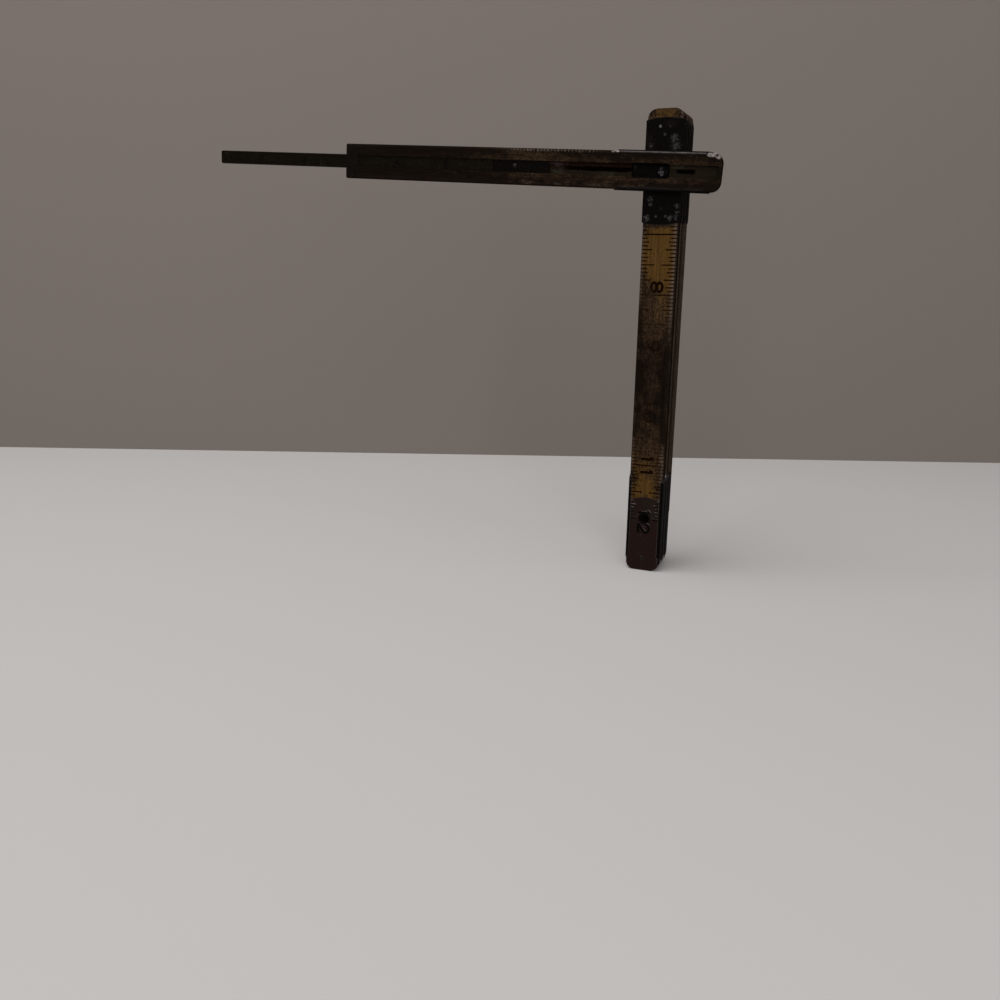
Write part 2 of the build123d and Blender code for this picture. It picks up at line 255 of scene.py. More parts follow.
# Light and dark specks in the pores, and streaks along the grain.
light_specks = calculate(wood_group, "MULTIPLY", fade(wood_group, pores, 0.52, 0.66), 0.45)
light_specks = calculate(wood_group, "MULTIPLY", light_specks, fade(wood_group, level, 0.0, 0.45, low=0.07))
colour = blend_colours(wood_group, light_specks, colour, tan_fleck)
dark_specks = calculate(wood_group, "MULTIPLY", fade(wood_group, pores, 0.48, 0.38), 0.8)
dark_specks = calculate(wood_group, "MULTIPLY", dark_specks, fade(wood_group, level, 1.1, 0.5, low=0.2))
colour = blend_colours(wood_group, dark_specks, colour, old_dirt)
streak = fade(wood_group, grain, 0.34, 0.66, low=0.72, high=1.12)
colour = add_node(
    wood_group, "ShaderNodeMix", {0: 1.0, 6: colour, 7: streak}, data_type="RGBA", blend_type="MULTIPLY"
).outputs[2]
# Bare wood along the rubbed edges of the faces, a little more on the stack's right-hand side, where the
# extra is a painted highlight.
ragged = calculate(wood_group, "MULTIPLY_ADD", mottle, 1.8 * mm, off_centre)
ragged = calculate(wood_group, "MULTIPLY_ADD", place.outputs["Z"], -0.05, ragged)
rubbed = calculate(wood_group, "MULTIPLY", fade(wood_group, ragged, 6.6 * mm, 8.2 * mm), 0.75)
rubbed = calculate(wood_group, "MULTIPLY", rubbed, fade(wood_group, level, 0.0, 0.6, low=0.03))
rubbed = calculate(wood_group, "MULTIPLY", rubbed, fade(wood_group, pores, 0.4, 0.6, low=0.5, high=1.1))
colour = blend_colours(wood_group, rubbed, colour, bare_wood)
# The narrow sides, which are black where they aren't rubbed: partly dirt, partly painted shade of the gaps
# between the sticks.
ragged = calculate(wood_group, "MULTIPLY_ADD", pores, 0.5 * mm, off_centre)
sided = calculate(wood_group, "MULTIPLY", fade(wood_group, ragged, 7.5 * mm, 7.75 * mm), 0.95)
patchy = fade(wood_group, mottle, 0.3, 0.6, low=0.5, high=1.15)
side_share = calculate(wood_group, "MULTIPLY", given["Side"], patchy)
streaky = fade(wood_group, grain, 0.36, 0.64, low=0.65, high=1.2)
side_share = calculate(wood_group, "MULTIPLY", side_share, streaky)
side_colour = blend_colours(wood_group, side_share, side_dirt_and_shade, side_rubbed)
colour = blend_colours(wood_group, sided, colour, side_colour)
fine_relief = calculate(wood_group, "ADD", grain, pores)
add_node(
    wood_group,
    "NodeGroupOutput",
    {
        "Colour": colour,
        "Roughness": fade(wood_group, level, 0.0, 0.8, low=0.68, high=0.42),
        "Height": calculate(wood_group, "MULTIPLY_ADD", mottle, 1.4, fine_relief),
        "Level": level,
    },
)


def along_the_stick(tree, section):
    """Object coordinates turned so that X runs up the stack, or along the arm towards its pivot."""
    if section == 1:
        turn = (0, -arm_rise, 0)
        shift = (upper_pivot * math.sin(arm_rise), 0, -upper_pivot * math.cos(arm_rise))
    else:
        turn = (0, math.radians(90), 0)
        shift = (0, 0, 0)
    where = add_node(tree, "ShaderNodeTexCoord").outputs["Object"]
    made = add_node(tree, "ShaderNodeMapping", {"Vector": where, "Location": shift, "Rotation": turn})
    return made.outputs[0]


def profile(tree, along, points):
    """A value that follows (millimetres, value) points along the stick."""
    first, last = points[0][0], points[-1][0]
    place = add_node(tree, "ShaderNodeMapRange", {0: along, 1: first * mm, 2: last * mm}).outputs[0]
    curve = add_node(tree, "ShaderNodeFloatCurve", {"Value": place})
    shape = curve.mapping.curves[0]
    for millimetres, share in points[1:-1]:
        shape.points.new((millimetres - first) / (last - first), share)
    shape.points[0].location = (0, points[0][1])
    shape.points[-1].location = (1, points[-1][1])
    curve.mapping.update()
    return curve.outputs[0]


def near_spots(tree, where, spots, size, stretch=1.0, cover=0.5, soft=0.0):
    """Share of ragged patches round spots, each (along, back, across, radius) in mm. Size is that
    of their raggedness, stretch makes them longer along the piece, cover makes them closed and
    soft blurs their outlines."""
    uneven = stretched_noise(tree, where, size, stretch, detail=5, roughness=0.7)
    uneven = fade(tree, uneven, 0.3, 0.7)
    squeezed = squeezed_along(tree, where, stretch)
    near = 0.0
    for along, back, across, radius in spots:
        middle = (along * mm / stretch, back * mm, across * mm)
        away = add_node(tree, "ShaderNodeVectorMath", {0: squeezed, 1: middle}, operation="DISTANCE")
        near = calculate(tree, "MAXIMUM", fade(tree, away.outputs["Value"], radius * mm, 0), near)
    share = fade(tree, calculate(tree, "MULTIPLY_ADD", near, cover, uneven), 0.7 - soft, 1.15 + soft)
    return calculate(tree, "MULTIPLY", share, fade(tree, near, 0, 0.25))


first_stick_low, first_stick_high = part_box("stick_1")
first_stick_front = first_stick_low.y
red_grime = (0.0088, 0.0036, 0.0026)
olive_grime = (0.0125, 0.0096, 0.0062)
groove_streak_black = (0.0012, 0.0007, 0.0005)
# Depths behind the stick's front at which the groove's grime begins, is full, thins and ends,
# and heights either side of the groove's middle between which it fades.
grime_depths = (0.35 * mm, 0.7 * mm, 2.8 * mm, 3.1 * mm)
grime_heights = (3.6 * mm, 3.3 * mm)
grime_strength = 0.75
groove_films = [
    ((0.030, 0.021, 0.022), [(-46.5, -3.9, 1.9, 3.2)]),
    ((0.0255, 0.0222, 0.0152), [(-46, -3.9, -2.2, 2.4)]),
    ((0.024, 0.021, 0.014), [(-24, -3.9, -2.4, 3.0), (7, -3.9, 2.2, 3.0)]),
]
streak_above_middle = 0.15 * mm
streak_raggedness = 1.6 * mm
streak_heights = (1.9 * mm, 1.3 * mm)
streak_stretches = [
    (-153, 0), (-45, 0), (-40, 1), (-13, 1), (-11, 0), (5.5, 0), (6.5, 1), (13, 1), (14.5, 0), (26, 0)
]


def grooved_front(tree, colour, where, place):
    """The first stick's groove: reddish and olive grime on its floor, with paler films in places
    and a black streak along it."""
    begins, full, thins, ends = [first_stick_front + depth for depth in grime_depths]
    height = calculate(tree, "ABSOLUTE", place["Z"])
    floor = calculate(
        tree, "MULTIPLY", fade(tree, place["Y"], begins, full), fade(tree, height, *grime_heights)
    )
    floor = calculate(tree, "MULTIPLY", floor, fade(tree, place["Y"], ends, thins))
    olive = fade(tree, place["Z"], 0.6 * mm, -0.8 * mm)
    olive = calculate(tree, "MAXIMUM", olive, fade(tree, place["X"], 0, 4 * mm))
    grime = blend_colours(tree, olive, red_grime, olive_grime)
    colour = blend_colours(tree, calculate(tree, "MULTIPLY", floor, grime_strength), colour, grime)
    for film, spots in groove_films:
        share = near_spots(tree, where, spots, 1.5 * mm, stretch=2.0, cover=0.8, soft=0.1)
        colour = blend_colours(tree, calculate(tree, "MULTIPLY", floor, share), colour, film)
    # A black streak along the middle of the groove's floor, in some stretches of it.
    uneven = stretched_noise(tree, where, 1.2 * mm, stretch=4.0, detail=4, roughness=0.65)
    height = calculate(tree, "ABSOLUTE", calculate(tree, "SUBTRACT", place["Z"], streak_above_middle))
    height = calculate(tree, "MULTIPLY_ADD", uneven, streak_raggedness, height)
    streak = calculate(tree, "MULTIPLY", floor, fade(tree, height, *streak_heights))
    streak = calculate(tree, "MULTIPLY", streak, profile(tree, place["X"], streak_stretches))
    return blend_colours(tree, streak, colour, groove_streak_black)


# Pale spots on the rubbed edges: bare wood painted pale as highlights, on the arm's upper right corner and
# along edges on the stack's side.
bare_wood_highlight = (0.34, 0.30, 0.28)
pale_highlight_strength = 0.8
pale_highlight_spots = {
    1: [(20.8, -4.9, 7.1, 1.7), (23.6, -4.9, 6.1, 1.2), (-20.4, -5.0, 7.9, 1.6)],
    4: [(44, 5.0, -7.7, 1.2), (2, 5.0, -7.5, 1.6)],
    6: [(3, 11.0, -7.5, 1.8)],
    7: [(5, 13.5, -7.5, 1.6)],
}
# Dark spots: dirt at the arm's pivot end and the second stick's top corners, and painted shade beside the
# edges of the second stick's joint plates.
grime_and_shade_spots = {
    1: [(22, -4.9, -6.5, 9), (25, -4.9, 0, 5)],
    2: [(200.5, -1.2, 7.2, 6), (201.5, -1.2, -7.2, 6), (153, -1.2, 8, 5), (45, -1.2, 7.6, 9),
        (40, -1.2, -8, 7)],
}
# How light each stick's narrow sides are, between black dirt with painted shade and rubbed wood, and how
# clean its varnish is along it.
side_lightness = {1: 0.2, 2: 0.32, 3: 0.0, 4: 0.95, 5: 0.22, 6: 0.65, 7: 0.75, 8: 1.0}
# On the second stick the profile drops just below its upper joint plate, a painted shadow under the plate's
# edge.
clean_and_shade_stretches = {
    1: [(-153, -0.12), (-128, -0.07), (-100, 0.0), (-74, 0.1), (-55, 0.24), (-30, 0.25), (0, 0.1),
        (14, 0.12), (22, -0.02), (26, -0.2)],
    2: [(0, 0.2), (35, 0.5), (40, 0.62), (45, 0.57), (51, 0.58), (56, 0.5), (62, 0.3), (78, 0.07),
        (86, 0.06), (100, 0.15), (114, 0.38), (126, 0.47), (132, 0.6), (138, 0.84), (145, 0.96),
        (153, 0.92), (156, 0.4), (194, 0.1), (198.5, 0.5), (201, 0.5), (203, 0.0)],
    3: [(0, 0.3), (40, 0.6), (90, 0.85), (150, 0.7), (203, 0.3)],
    4: [(0, 0.3), (60, 0.8), (120, 0.7), (170, 0.9), (203, 0.3)],
    5: [(0, 0.3), (50, 0.9), (110, 0.75), (150, 0.6), (203, 0.3)],
    6: [(0, 0.3), (45, 0.7), (100, 0.9), (160, 0.8), (203, 0.3)],
    7: [(0, 0.3), (70, 0.75), (130, 0.85), (180, 0.7), (203, 0.3)],
    8: [(0, 0.2), (40, 0.6), (70, 0.35), (110, 0.16), (135, 0.4), (160, 0.7), (190, 0.4), (203, 0.2)],
}


def worn_wood(tree, section):
    """Colour of one stick's wood, the wood group's other outputs, and the coordinates along it."""
    where = along_the_stick(tree, section)
    place = add_node(tree, "ShaderNodeSeparateXYZ", {0: where}).outputs
    clean = profile(tree, place["X"], clean_and_shade_stretches[section])
    made = add_node(tree, "ShaderNodeGroup", node_tree=wood_group)
    tree.links.new(where, made.inputs["Where"])
    tree.links.new(clean, made.inputs["Clean"])
    made.inputs["Side"].default_value = side_lightness[section]
    colour = made.outputs["Colour"]
    # Dirt, and painted shade beside the joint plates, at the dark spots.
    if section in grime_and_shade_spots:
        share = near_spots(tree, where, grime_and_shade_spots[section], 1.2 * mm)
        colour = blend_colours(tree, share, colour, old_dirt)
    # Painted highlights on bare wood at the pale spots.
    if section in pale_highlight_spots:
        share = near_spots(
            tree, where, pale_highlight_spots[section], 0.7 * mm, stretch=2.0, cover=0.75, soft=0.25
        )
        share = calculate(tree, "MULTIPLY", share, pale_highlight_strength)
        colour = blend_colours(tree, share, colour, bare_wood_highlight)
    if section == 1:
        colour = grooved_front(tree, colour, where, place)
    return colour, made.outputs, where


def finish_surface(tree, output, colour, roughness, height, depth, shine):
    """The shader of one finish, with its bump."""
    bump = add_node(tree, "ShaderNodeBump", {"Height": height, "Strength": 0.6, "Distance": depth})
    inputs = {
        "Base Color": colour,
        "Roughness": roughness,
        "Normal": bump.outputs[0],
        "Specular IOR Level": shine,
    }
    shader = add_node(tree, "ShaderNodeBsdfPrincipled", inputs)
    tree.links.new(shader.outputs[0], output.inputs["Surface"])


for section in range(1, section_count + 1):
    wood, tree, output = new_material(f"worn_wood_{section}")
    colour, worn, where = worn_wood(tree, section)
    finish_surface(
        tree, output, colour, worn["Roughness"], worn["Height"], depth=0.05 * mm, shine=0.0
    )
    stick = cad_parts[f"stick_{section}"]
    stick.data.materials.clear()
    stick.data.materials.append(wood)

# Division marks, rolled into the varnish with black ink that has faded to a dark brown:
# sixteenths of an inch from both edges of a face, longer at each eighth, quarter and half, and a
# line right across at each inch. Around the pivots they are stamped into the strike plates.
sixteenth = inch / 16
sixteenths_per_section = 16 * inches_per_section


def division_marks_tree():
    """Marks in a face's own plane: X along the scale, Y across it, Z out of the face."""
    tree = bpy.data.node_groups.new("division_marks", "GeometryNodeTree")
    tree.interface.new_socket("Geometry", in_out="INPUT", socket_type="NodeSocketGeometry")
    for name in ("First", "Count", "Seed"):
        tree.interface.new_socket(name, in_out="INPUT", socket_type="NodeSocketInt")
    for name in ("Spacing", "Edge", "Flat", "Rounding", "Height", "Width", "Inch Width", "Unevenness",
                 "Sixteenth", "Eighth", "Quarter", "Half", "Inch"):
        tree.interface.new_socket(name, in_out="INPUT", socket_type="NodeSocketFloat")
    tree.interface.new_socket("Ink", in_out="INPUT", socket_type="NodeSocketMaterial")
    tree.interface.new_socket("Geometry", in_out="OUTPUT", socket_type="NodeSocketGeometry")
    given = add_node(tree, "NodeGroupInput").outputs

    start = calculate(tree, "MULTIPLY", given["First"], given["Spacing"])
    start = add_node(tree, "ShaderNodeCombineXYZ", {"X": start})
    step = add_node(tree, "ShaderNodeCombineXYZ", {"X": given["Spacing"]})
    row = add_node(
        tree,
        "GeometryNodeMeshLine",
        {"Count": given["Count"], "Start Location": start.outputs[0], "Offset": step.outputs[0]},
    )
    number = calculate(tree, "ADD", add_node(tree, "GeometryNodeInputIndex").outputs[0], given["First"])
    chance = add_node(tree, "FunctionNodeRandomValue", {"Seed": given["Seed"]}, data_type="FLOAT")
    uneven = calculate(tree, "MULTIPLY_ADD", chance.outputs["Value"], given["Unevenness"], 1.0)
    length = given["Sixteenth"]
    width = calculate(tree, "MULTIPLY", given["Width"], uneven)
    for every, name in ((2, "Eighth"), (4, "Quarter"), (8, "Half"), (16, "Inch")):
        if name == "Inch":
            length = calculate(tree, "MULTIPLY", length, uneven)
        chosen = calculate(tree, "LESS_THAN", calculate(tree, "MODULO", number, every), 0.5)
        length = add_node(
            tree, "GeometryNodeSwitch", {0: chosen, 1: length, 2: given[name]}, input_type="FLOAT"
        ).outputs[0]
    width = add_node(
        tree, "GeometryNodeSwitch", {0: chosen, 1: width, 2: given["Inch Width"]}, input_type="FLOAT"
    ).outputs[0]
    known = add_node(tree, "GeometryNodeCaptureAttribute", domain="POINT")
    known.capture_items.new("FLOAT", "Length")
    tree.links.new(row.outputs[0], known.inputs["Geometry"])
    tree.links.new(length, known.inputs["Length"])

    bar = add_node(
        tree, "GeometryNodeMeshCube", {"Size": (1, 1, 1), "Vertices X": 2, "Vertices Y": 6, "Vertices Z": 2}
    )
    pair = add_node(tree, "GeometryNodeJoinGeometry")
    for side in (-1, 1):
        moved = add_node(
            tree, "GeometryNodeTransform", {"Geometry": bar.outputs[0], "Translation": (0, side, 0)}
        )
        tree.links.new(moved.outputs[0], pair.inputs[0])
    bar_outer_end = 1.5
    size = add_node(tree, "ShaderNodeCombineXYZ", {"X": width, "Y": 1.0, "Z": given["Height"]})
    bars = add_node(
        tree,
        "GeometryNodeInstanceOnPoints",
        {"Points": known.outputs["Geometry"], "Instance": pair.outputs[0], "Scale": size.outputs[0]},
    )
    real = add_node(tree, "GeometryNodeRealizeInstances", {"Geometry": bars.outputs[0]})

    position = add_node(tree, "GeometryNodeInputPosition").outputs[0]
    corner = add_node(tree, "ShaderNodeSeparateXYZ", {0: position})
    inwards = calculate(tree, "SUBTRACT", bar_outer_end, calculate(tree, "ABSOLUTE", corner.outputs["Y"]))
    bent_run = calculate(tree, "SUBTRACT", given["Edge"], given["Flat"])
    bent_share = 0.6
    bent = calculate(tree, "MINIMUM", calculate(tree, "DIVIDE", inwards, bent_share), 1.0)
    straight = calculate(tree, "SUBTRACT", inwards, bent_share)
    straight = calculate(tree, "DIVIDE", calculate(tree, "MAXIMUM", straight, 0.0), 1 - bent_share)
    straight_run = calculate(tree, "SUBTRACT", known.outputs["Length"], bent_run)
    reach = calculate(tree, "MULTIPLY", straight, straight_run)
    reach = calculate(tree, "MULTIPLY_ADD", bent, bent_run, reach)
    across = calculate(tree, "SUBTRACT", given["Edge"], reach)
    past_flat = calculate(tree, "MAXIMUM", calculate(tree, "SUBTRACT", across, given["Flat"]), 0.0)
    upright = calculate(tree, "MULTIPLY", calculate(tree, "MULTIPLY", past_flat, past_flat), -1.0)
    upright = calculate(tree, "MULTIPLY_ADD", given["Rounding"], given["Rounding"], upright)
    drop = calculate(tree, "SUBTRACT", given["Rounding"], calculate(tree, "SQRT", upright))
    sided = calculate(tree, "MULTIPLY", across, calculate(tree, "SIGN", corner.outputs["Y"]))
    settled = add_node(
        tree,
        "ShaderNodeCombineXYZ",
        {"X": corner.outputs["X"], "Y": sided, "Z": calculate(tree, "SUBTRACT", corner.outputs["Z"], drop)},
    )
    shaped = add_node(
        tree, "GeometryNodeSetPosition", {"Geometry": real.outputs[0], "Position": settled.outputs[0]}
    )
    inked = add_node(
        tree, "GeometryNodeSetMaterial", {"Geometry": shaped.outputs[0], "Material": given["Ink"]}
    )
    add_node(tree, "NodeGroupOutput", {"Geometry": inked.outputs[0]})
    return tree


marks_tree = division_marks_tree()
mark_height = 0.03 * mm
printed_marks = {
    "Spacing": sixteenth, "Edge": 7.45 * mm, "Flat": flat_half_width, "Rounding": edge_rounding,
    "Height": mark_height, "Width": 0.58 * mm, "Inch Width": 0.62 * mm, "Sixteenth": 2.8 * mm,
    "Eighth": 3.6 * mm, "Quarter": 4.7 * mm, "Half": 6.4 * mm, "Inch": 7.47 * mm,
    "Unevenness": -0.14, "Seed": 3,
}
rail_marks = dict(
    printed_marks, Sixteenth=1.8 * mm, Eighth=2.4 * mm, Quarter=3.0 * mm, Half=3.6 * mm, Inch=4.5 * mm
)
stamped_marks = dict(printed_marks, Edge=6.4 * mm, Flat=6.4 * mm, Sixteenth=1.4 * mm, Eighth=2.0 * mm,
                     Quarter=2.6 * mm, Half=2.8 * mm, Inch=2.8 * mm)


def run_of_marks(first, last, sizes, ink):
    """The mesh of the marks from first to last, in a face's own plane."""
    holder = bpy.data.objects.new("marks", bpy.data.meshes.new("marks"))
    bpy.context.scene.collection.objects.link(holder)
    modifier = holder.modifiers.new("marks", "NODES")
    modifier.node_group = marks_tree
    values = dict(sizes, First=first, Count=last - first + 1, Ink=ink)
    for item in marks_tree.interface.items_tree:
        if item.in_out == "INPUT" and item.name in values:
            modifier[item.identifier] = values[item.name]
    bpy.context.view_layer.update()
    evaluated = holder.evaluated_get(bpy.context.evaluated_depsgraph_get())
    mesh = bpy.data.meshes.new_from_object(evaluated)
    bpy.data.objects.remove(holder)
    return mesh


def face_place(section, side, node=None):
    """A face's own plane: its X starts at the section's first pivot and runs along the scale."""
    low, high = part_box(node or f"stick_{section}")
    depth = low.y if side == "front" else high.y
    outward = Vector((0, -1, 0)) if side == "front" else Vector((0, 1, 0))
    if section == 1:
        along = Vector((math.cos(arm_rise), 0, -math.sin(arm_rise)))
        start = Vector((0, depth, upper_pivot)) - along * pivot_spacing
    elif section % 2:
        along = Vector((0, 0, 1))
        start = Vector((0, depth, lower_pivot))
    else:
        along = Vector((0, 0, -1))
        start = Vector((0, depth, upper_pivot))
    across = outward.cross(along)
    turned = Matrix((along, across, outward)).transposed().to_4x4()
    return Matrix.Translation(start) @ turned


def gather(name, parts, finish, body):
    """One piece from several meshes, each with its place, that rides on its body."""
    merge_distance = 1e-7
    joined = bmesh.new()
    for mesh, place in parts:
        copy = mesh.copy()
        copy.transform(place)
        joined.from_mesh(copy)
        bpy.data.meshes.remove(copy)
    for face in joined.faces:
        face.material_index = 0
        face.smooth = False
    bmesh.ops.remove_doubles(joined, verts=joined.verts, dist=merge_distance)
    bmesh.ops.recalc_face_normals(joined, faces=joined.faces)
    mesh = bpy.data.meshes.new(name)
    joined.to_mesh(mesh)
    joined.free()
    mesh.materials.clear()
    mesh.materials.append(finish)
    made = bpy.data.objects.new(name, mesh)
    bpy.context.scene.collection.objects.link(made)
    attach(made, body)


faded_ink = (0.0058, 0.0023, 0.0008)
lost_from_first_front = 0.8
old_white = (0.125, 0.105, 0.09)
white_stretches = [(-153, 0), (-78, 0.1), (-68, 1.0), (-33, 1.0), (-26, 0.1), (26, 0)]
white_heights = (6.4 * mm, 7.0 * mm)
first_stick_middle = (first_stick_low.y + first_stick_high.y) / 2


def printed_ink(name, section, flaked):
    """Faded ink that has kept better where the varnish has, over the wood of its own stick. It is
    all but gone from the first stick's front, where whitish dirt fills the marks' upper ends."""
    made, tree, output = new_material(f"{name}_{section}")
    wood_colour, worn, where = worn_wood(tree, section)
    flaking = stretched_noise(tree, where, 0.45 * mm, detail=4, roughness=0.65)
    kept = calculate(tree, "MULTIPLY_ADD", worn["Level"], 0.45, flaking)
    kept = fade(tree, kept, flaked, flaked + 0.2, low=0.05)
    if section > 1:
        colour = blend_colours(tree, kept, wood_colour, faded_ink)
    else:
        place = add_node(tree, "ShaderNodeSeparateXYZ", {0: where}).outputs
        at_front = fade(tree, place["Y"], first_stick_middle, first_stick_middle - 1 * mm)
        left = calculate(tree, "MULTIPLY_ADD", at_front, -lost_from_first_front, 1.0)
        kept = calculate(tree, "MULTIPLY", kept, left)
        colour = blend_colours(tree, kept, wood_colour, faded_ink)
        filled = calculate(
            tree, "MULTIPLY", profile(tree, place["X"], white_stretches),
            fade(tree, place["Z"], *white_heights),
        )
        filled = calculate(tree, "MULTIPLY", filled, fade(tree, flaking, 0.44, 0.58))
        filled = calculate(tree, "MULTIPLY", filled, at_front)
        colour = blend_colours(tree, filled, colour, old_white)
    finish_surface(
        tree, output, colour, worn["Roughness"], worn["Height"], depth=0.03 * mm, shine=0.0
    )
    return made


def on_wood(section):
    """First and last sixteenths that stand on the wood's front and back, clear of plates and caps."""
    if section == 1:
        return (5, 82), (5, 82)
    if section == section_count:
        return (14, 91), (7, 91)
    return (14, 89), (7, 82)


inks = {
    section: printed_ink("mark_ink", section, flaked=0.55) for section in range(1, section_count + 1)
}
for section in range(1, section_count + 1):
    front_run, back_run = on_wood(section)
    front_sizes = rail_marks if section == 1 else printed_marks
    front = run_of_marks(*front_run, front_sizes, inks[section]), face_place(section, "front")
    back = run_of_marks(*back_run, printed_marks, inks[section]), face_place(section, "back")
    gather(f"division_marks_{section}", [front, back], inks[section], f"section_{section}")

# Figures, printed with the same ink beside or astride each inch line, their feet towards one
# edge. They are plain upright numerals, about 6 mm tall, drawn with even strokes that have round
# ends, and they count on from one section to the next.
pen_half_width = 0.6 * mm
round_end_degrees = (25, 50, 72)
bow_step_degrees = 15
fewest_bow_steps = 6
stroke_step = 0.002 * mm
single_before_line = 3.3 * mm
tens_before_line = 3.3 * mm
units_after_line = 2.9 * mm
figure_room = 2.8 * mm
figure_spacing = 5.2 * mm
foot = -2.475
head = 2.475


def straight(start, end):
    """Middle line of a straight stroke between two points, in millimetres."""
    return [Vector(start), Vector(end)], False


def bow(centre, across, tall, first=0, last=360):
    """Middle line of an oval stroke from one angle to another, or right round."""
    closed = abs(last - first) == 360
    steps = max(fewest_bow_steps, round(abs(last - first) / bow_step_degrees))
    points = []
    for step in range(steps + (not closed)):
        angle = math.radians(first + (last - first) * step / steps)
        points.append(Vector((across * math.cos(angle), tall * math.sin(angle))) + Vector(centre))
    return points, closed


def turned_round(strokes):
    """The same strokes upside down, as a nine is to a six."""
    return [([-point for point in points], closed) for points, closed in strokes]


six = [bow((0, -0.95), 1.9, 1.52), bow((1.0, -0.95), 2.9, 3.42, 180, 108)]
strokes_of = {
    "0": [bow((0, 0), 2.0, head)],
    "1": [straight((0.35, foot), (0.35, head)), straight((0.35, head), (-0.4, 1.8))],
    "2": [bow((0, 1.05), 1.9, 1.42, 165, -30), straight((1.65, 0.34), (-1.95, foot)),
          straight((-1.95, foot), (1.95, foot))],
    "3": [bow((0, 1.2), 1.6, 1.27, 150, -90), bow((0, -1.2), 1.95, 1.27, 90, -150)],
    "4": [straight((0.9, foot), (0.9, head)), straight((0.9, head), (-2.1, -0.9)),
          straight((-2.1, -0.9), (2.1, -0.9))],
    "5": [straight((1.7, head), (-1.35, head)), straight((-1.35, head), (-1.6, 0.35)),
          bow((0, -0.85), 1.95, 1.62, 140, -150)],
    "6": six,
    "7": [straight((-1.9, head), (1.9, head)), straight((1.9, head), (-0.5, foot))],
    "8": [bow((0, 1.2), 1.9, 1.25), bow((0, -1.2), 1.9, 1.25)],
    "9": turned_round(six),
}


def numeral(strokes):
    """The mesh of one figure: each stroke is a flat closed band, a hair thicker than the one before."""
    solid = bmesh.new()
    for order, (points, closed) in enumerate(strokes):
        points = [point * mm for point in points]
        half_height = mark_height / 2 + order * stroke_step
        sections = []
        for index, point in enumerate(points):
            before = points[index - 1] if closed or index else point
            after = points[(index + 1) % len(points)] if closed or index + 1 < len(points) else point
            sections.append((point, (after - before).normalized(), pen_half_width))
        if not closed:
            for at, sign in ((0, -1), (-1, 1)):
                point, heading, width = sections[at]
                for degrees in round_end_degrees:
                    lean = math.radians(degrees)
                    end = point + heading * sign * width * math.sin(lean), heading, width * math.cos(lean)
                    sections.insert(0 if at == 0 else len(sections), end)
        rings = []
        for point, heading, width in sections:
            across = Vector((-heading.y, heading.x)) * width
            corners = (point + across, point - across)
            ring = [solid.verts.new((corner.x, corner.y, half_height)) for corner in corners]
            ring += [solid.verts.new((corner.x, corner.y, -half_height)) for corner in corners[::-1]]
            rings.append(ring)
        for ring, following in zip(rings, rings[1:] + rings[:1]):
            if following is rings[0] and not closed:
                solid.faces.new(ring)
                solid.faces.new(following)
                continue
            for corner in range(4):
                beside = (corner + 1) % 4
                solid.faces.new((ring[corner], ring[beside], following[beside], following[corner]))
    mesh = bpy.data.meshes.new("numeral")
    solid.to_mesh(mesh)
    solid.free()
    return mesh


glyphs = {character: numeral(strokes) for character, strokes in strokes_of.items()}


def figures(value, line, first, last):
    """The figures of a value about its inch line, as meshes with their places along the scale.
    Two figures stand on one side of it where a plate leaves no room on the other."""
    text = str(value)
    if len(text) == 1:
        places = [line - single_before_line]
    elif line - tens_before_line < first:
        places = [line + units_after_line, line + units_after_line + figure_spacing]
    elif line + units_after_line > last:
        places = [line - tens_before_line - figure_spacing, line - tens_before_line]
    else:
        places = [line - tens_before_line, line + units_after_line]
    if places[0] < first or places[-1] > last:
        return []
    return [(glyphs[character], place) for character, place in zip(text, places)]


for section in range(1, section_count + 1):
    figure_ink = printed_ink("figure_ink", section, flaked=0.47)
    front_run, back_run = on_wood(section)
    parts = []
    for side, run in (("front", front_run), ("back", back_run)):
        if section == 1 and side == "front":
            continue
        base = face_place(section, side)
        first = run[0] * sixteenth + figure_room / 2
        last = run[1] * sixteenth - figure_room / 4
        for count in range(1, inches_per_section + 1):
            value = inches_per_section * (section - 1) + count
            found = figures(value, count * inch, first, last)
            parts += [(mesh, base @ Matrix.Translation((along, 0, 0))) for mesh, along in found]
    gather(f"figures_{section}", parts, figure_ink, f"section_{section}")

# Fourteen joint plates, stamped from thin sheet steel with flanges curled over the edges of the
# sticks. They are blackened all over, and rubbed to grey steel on edges and high places; the
# pale ends of the flanges and the pale rim along the arm's upper lip are painted highlights.


def rubbed_edges(tree, radius):
    """Share of rounding near an edge, from how far a bevelled normal leans away."""
    leaning = add_node(tree, "ShaderNodeBevel", {"Radius": radius}, samples=6).outputs[0]
    straight = add_node(tree, "ShaderNodeNewGeometry").outputs["Normal"]
    agree = add_node(tree, "ShaderNodeVectorMath", {0: leaning, 1: straight}, operation="DOT_PRODUCT")
    return calculate(tree, "SUBTRACT", 1.0, agree.outputs["Value"])


edge_radius = 0.24 * mm
highlight_spot_strength = 0.65
lip_highlight_strength = 0.9
lip_highlight_heights = (6.9 * mm, 7.4 * mm)


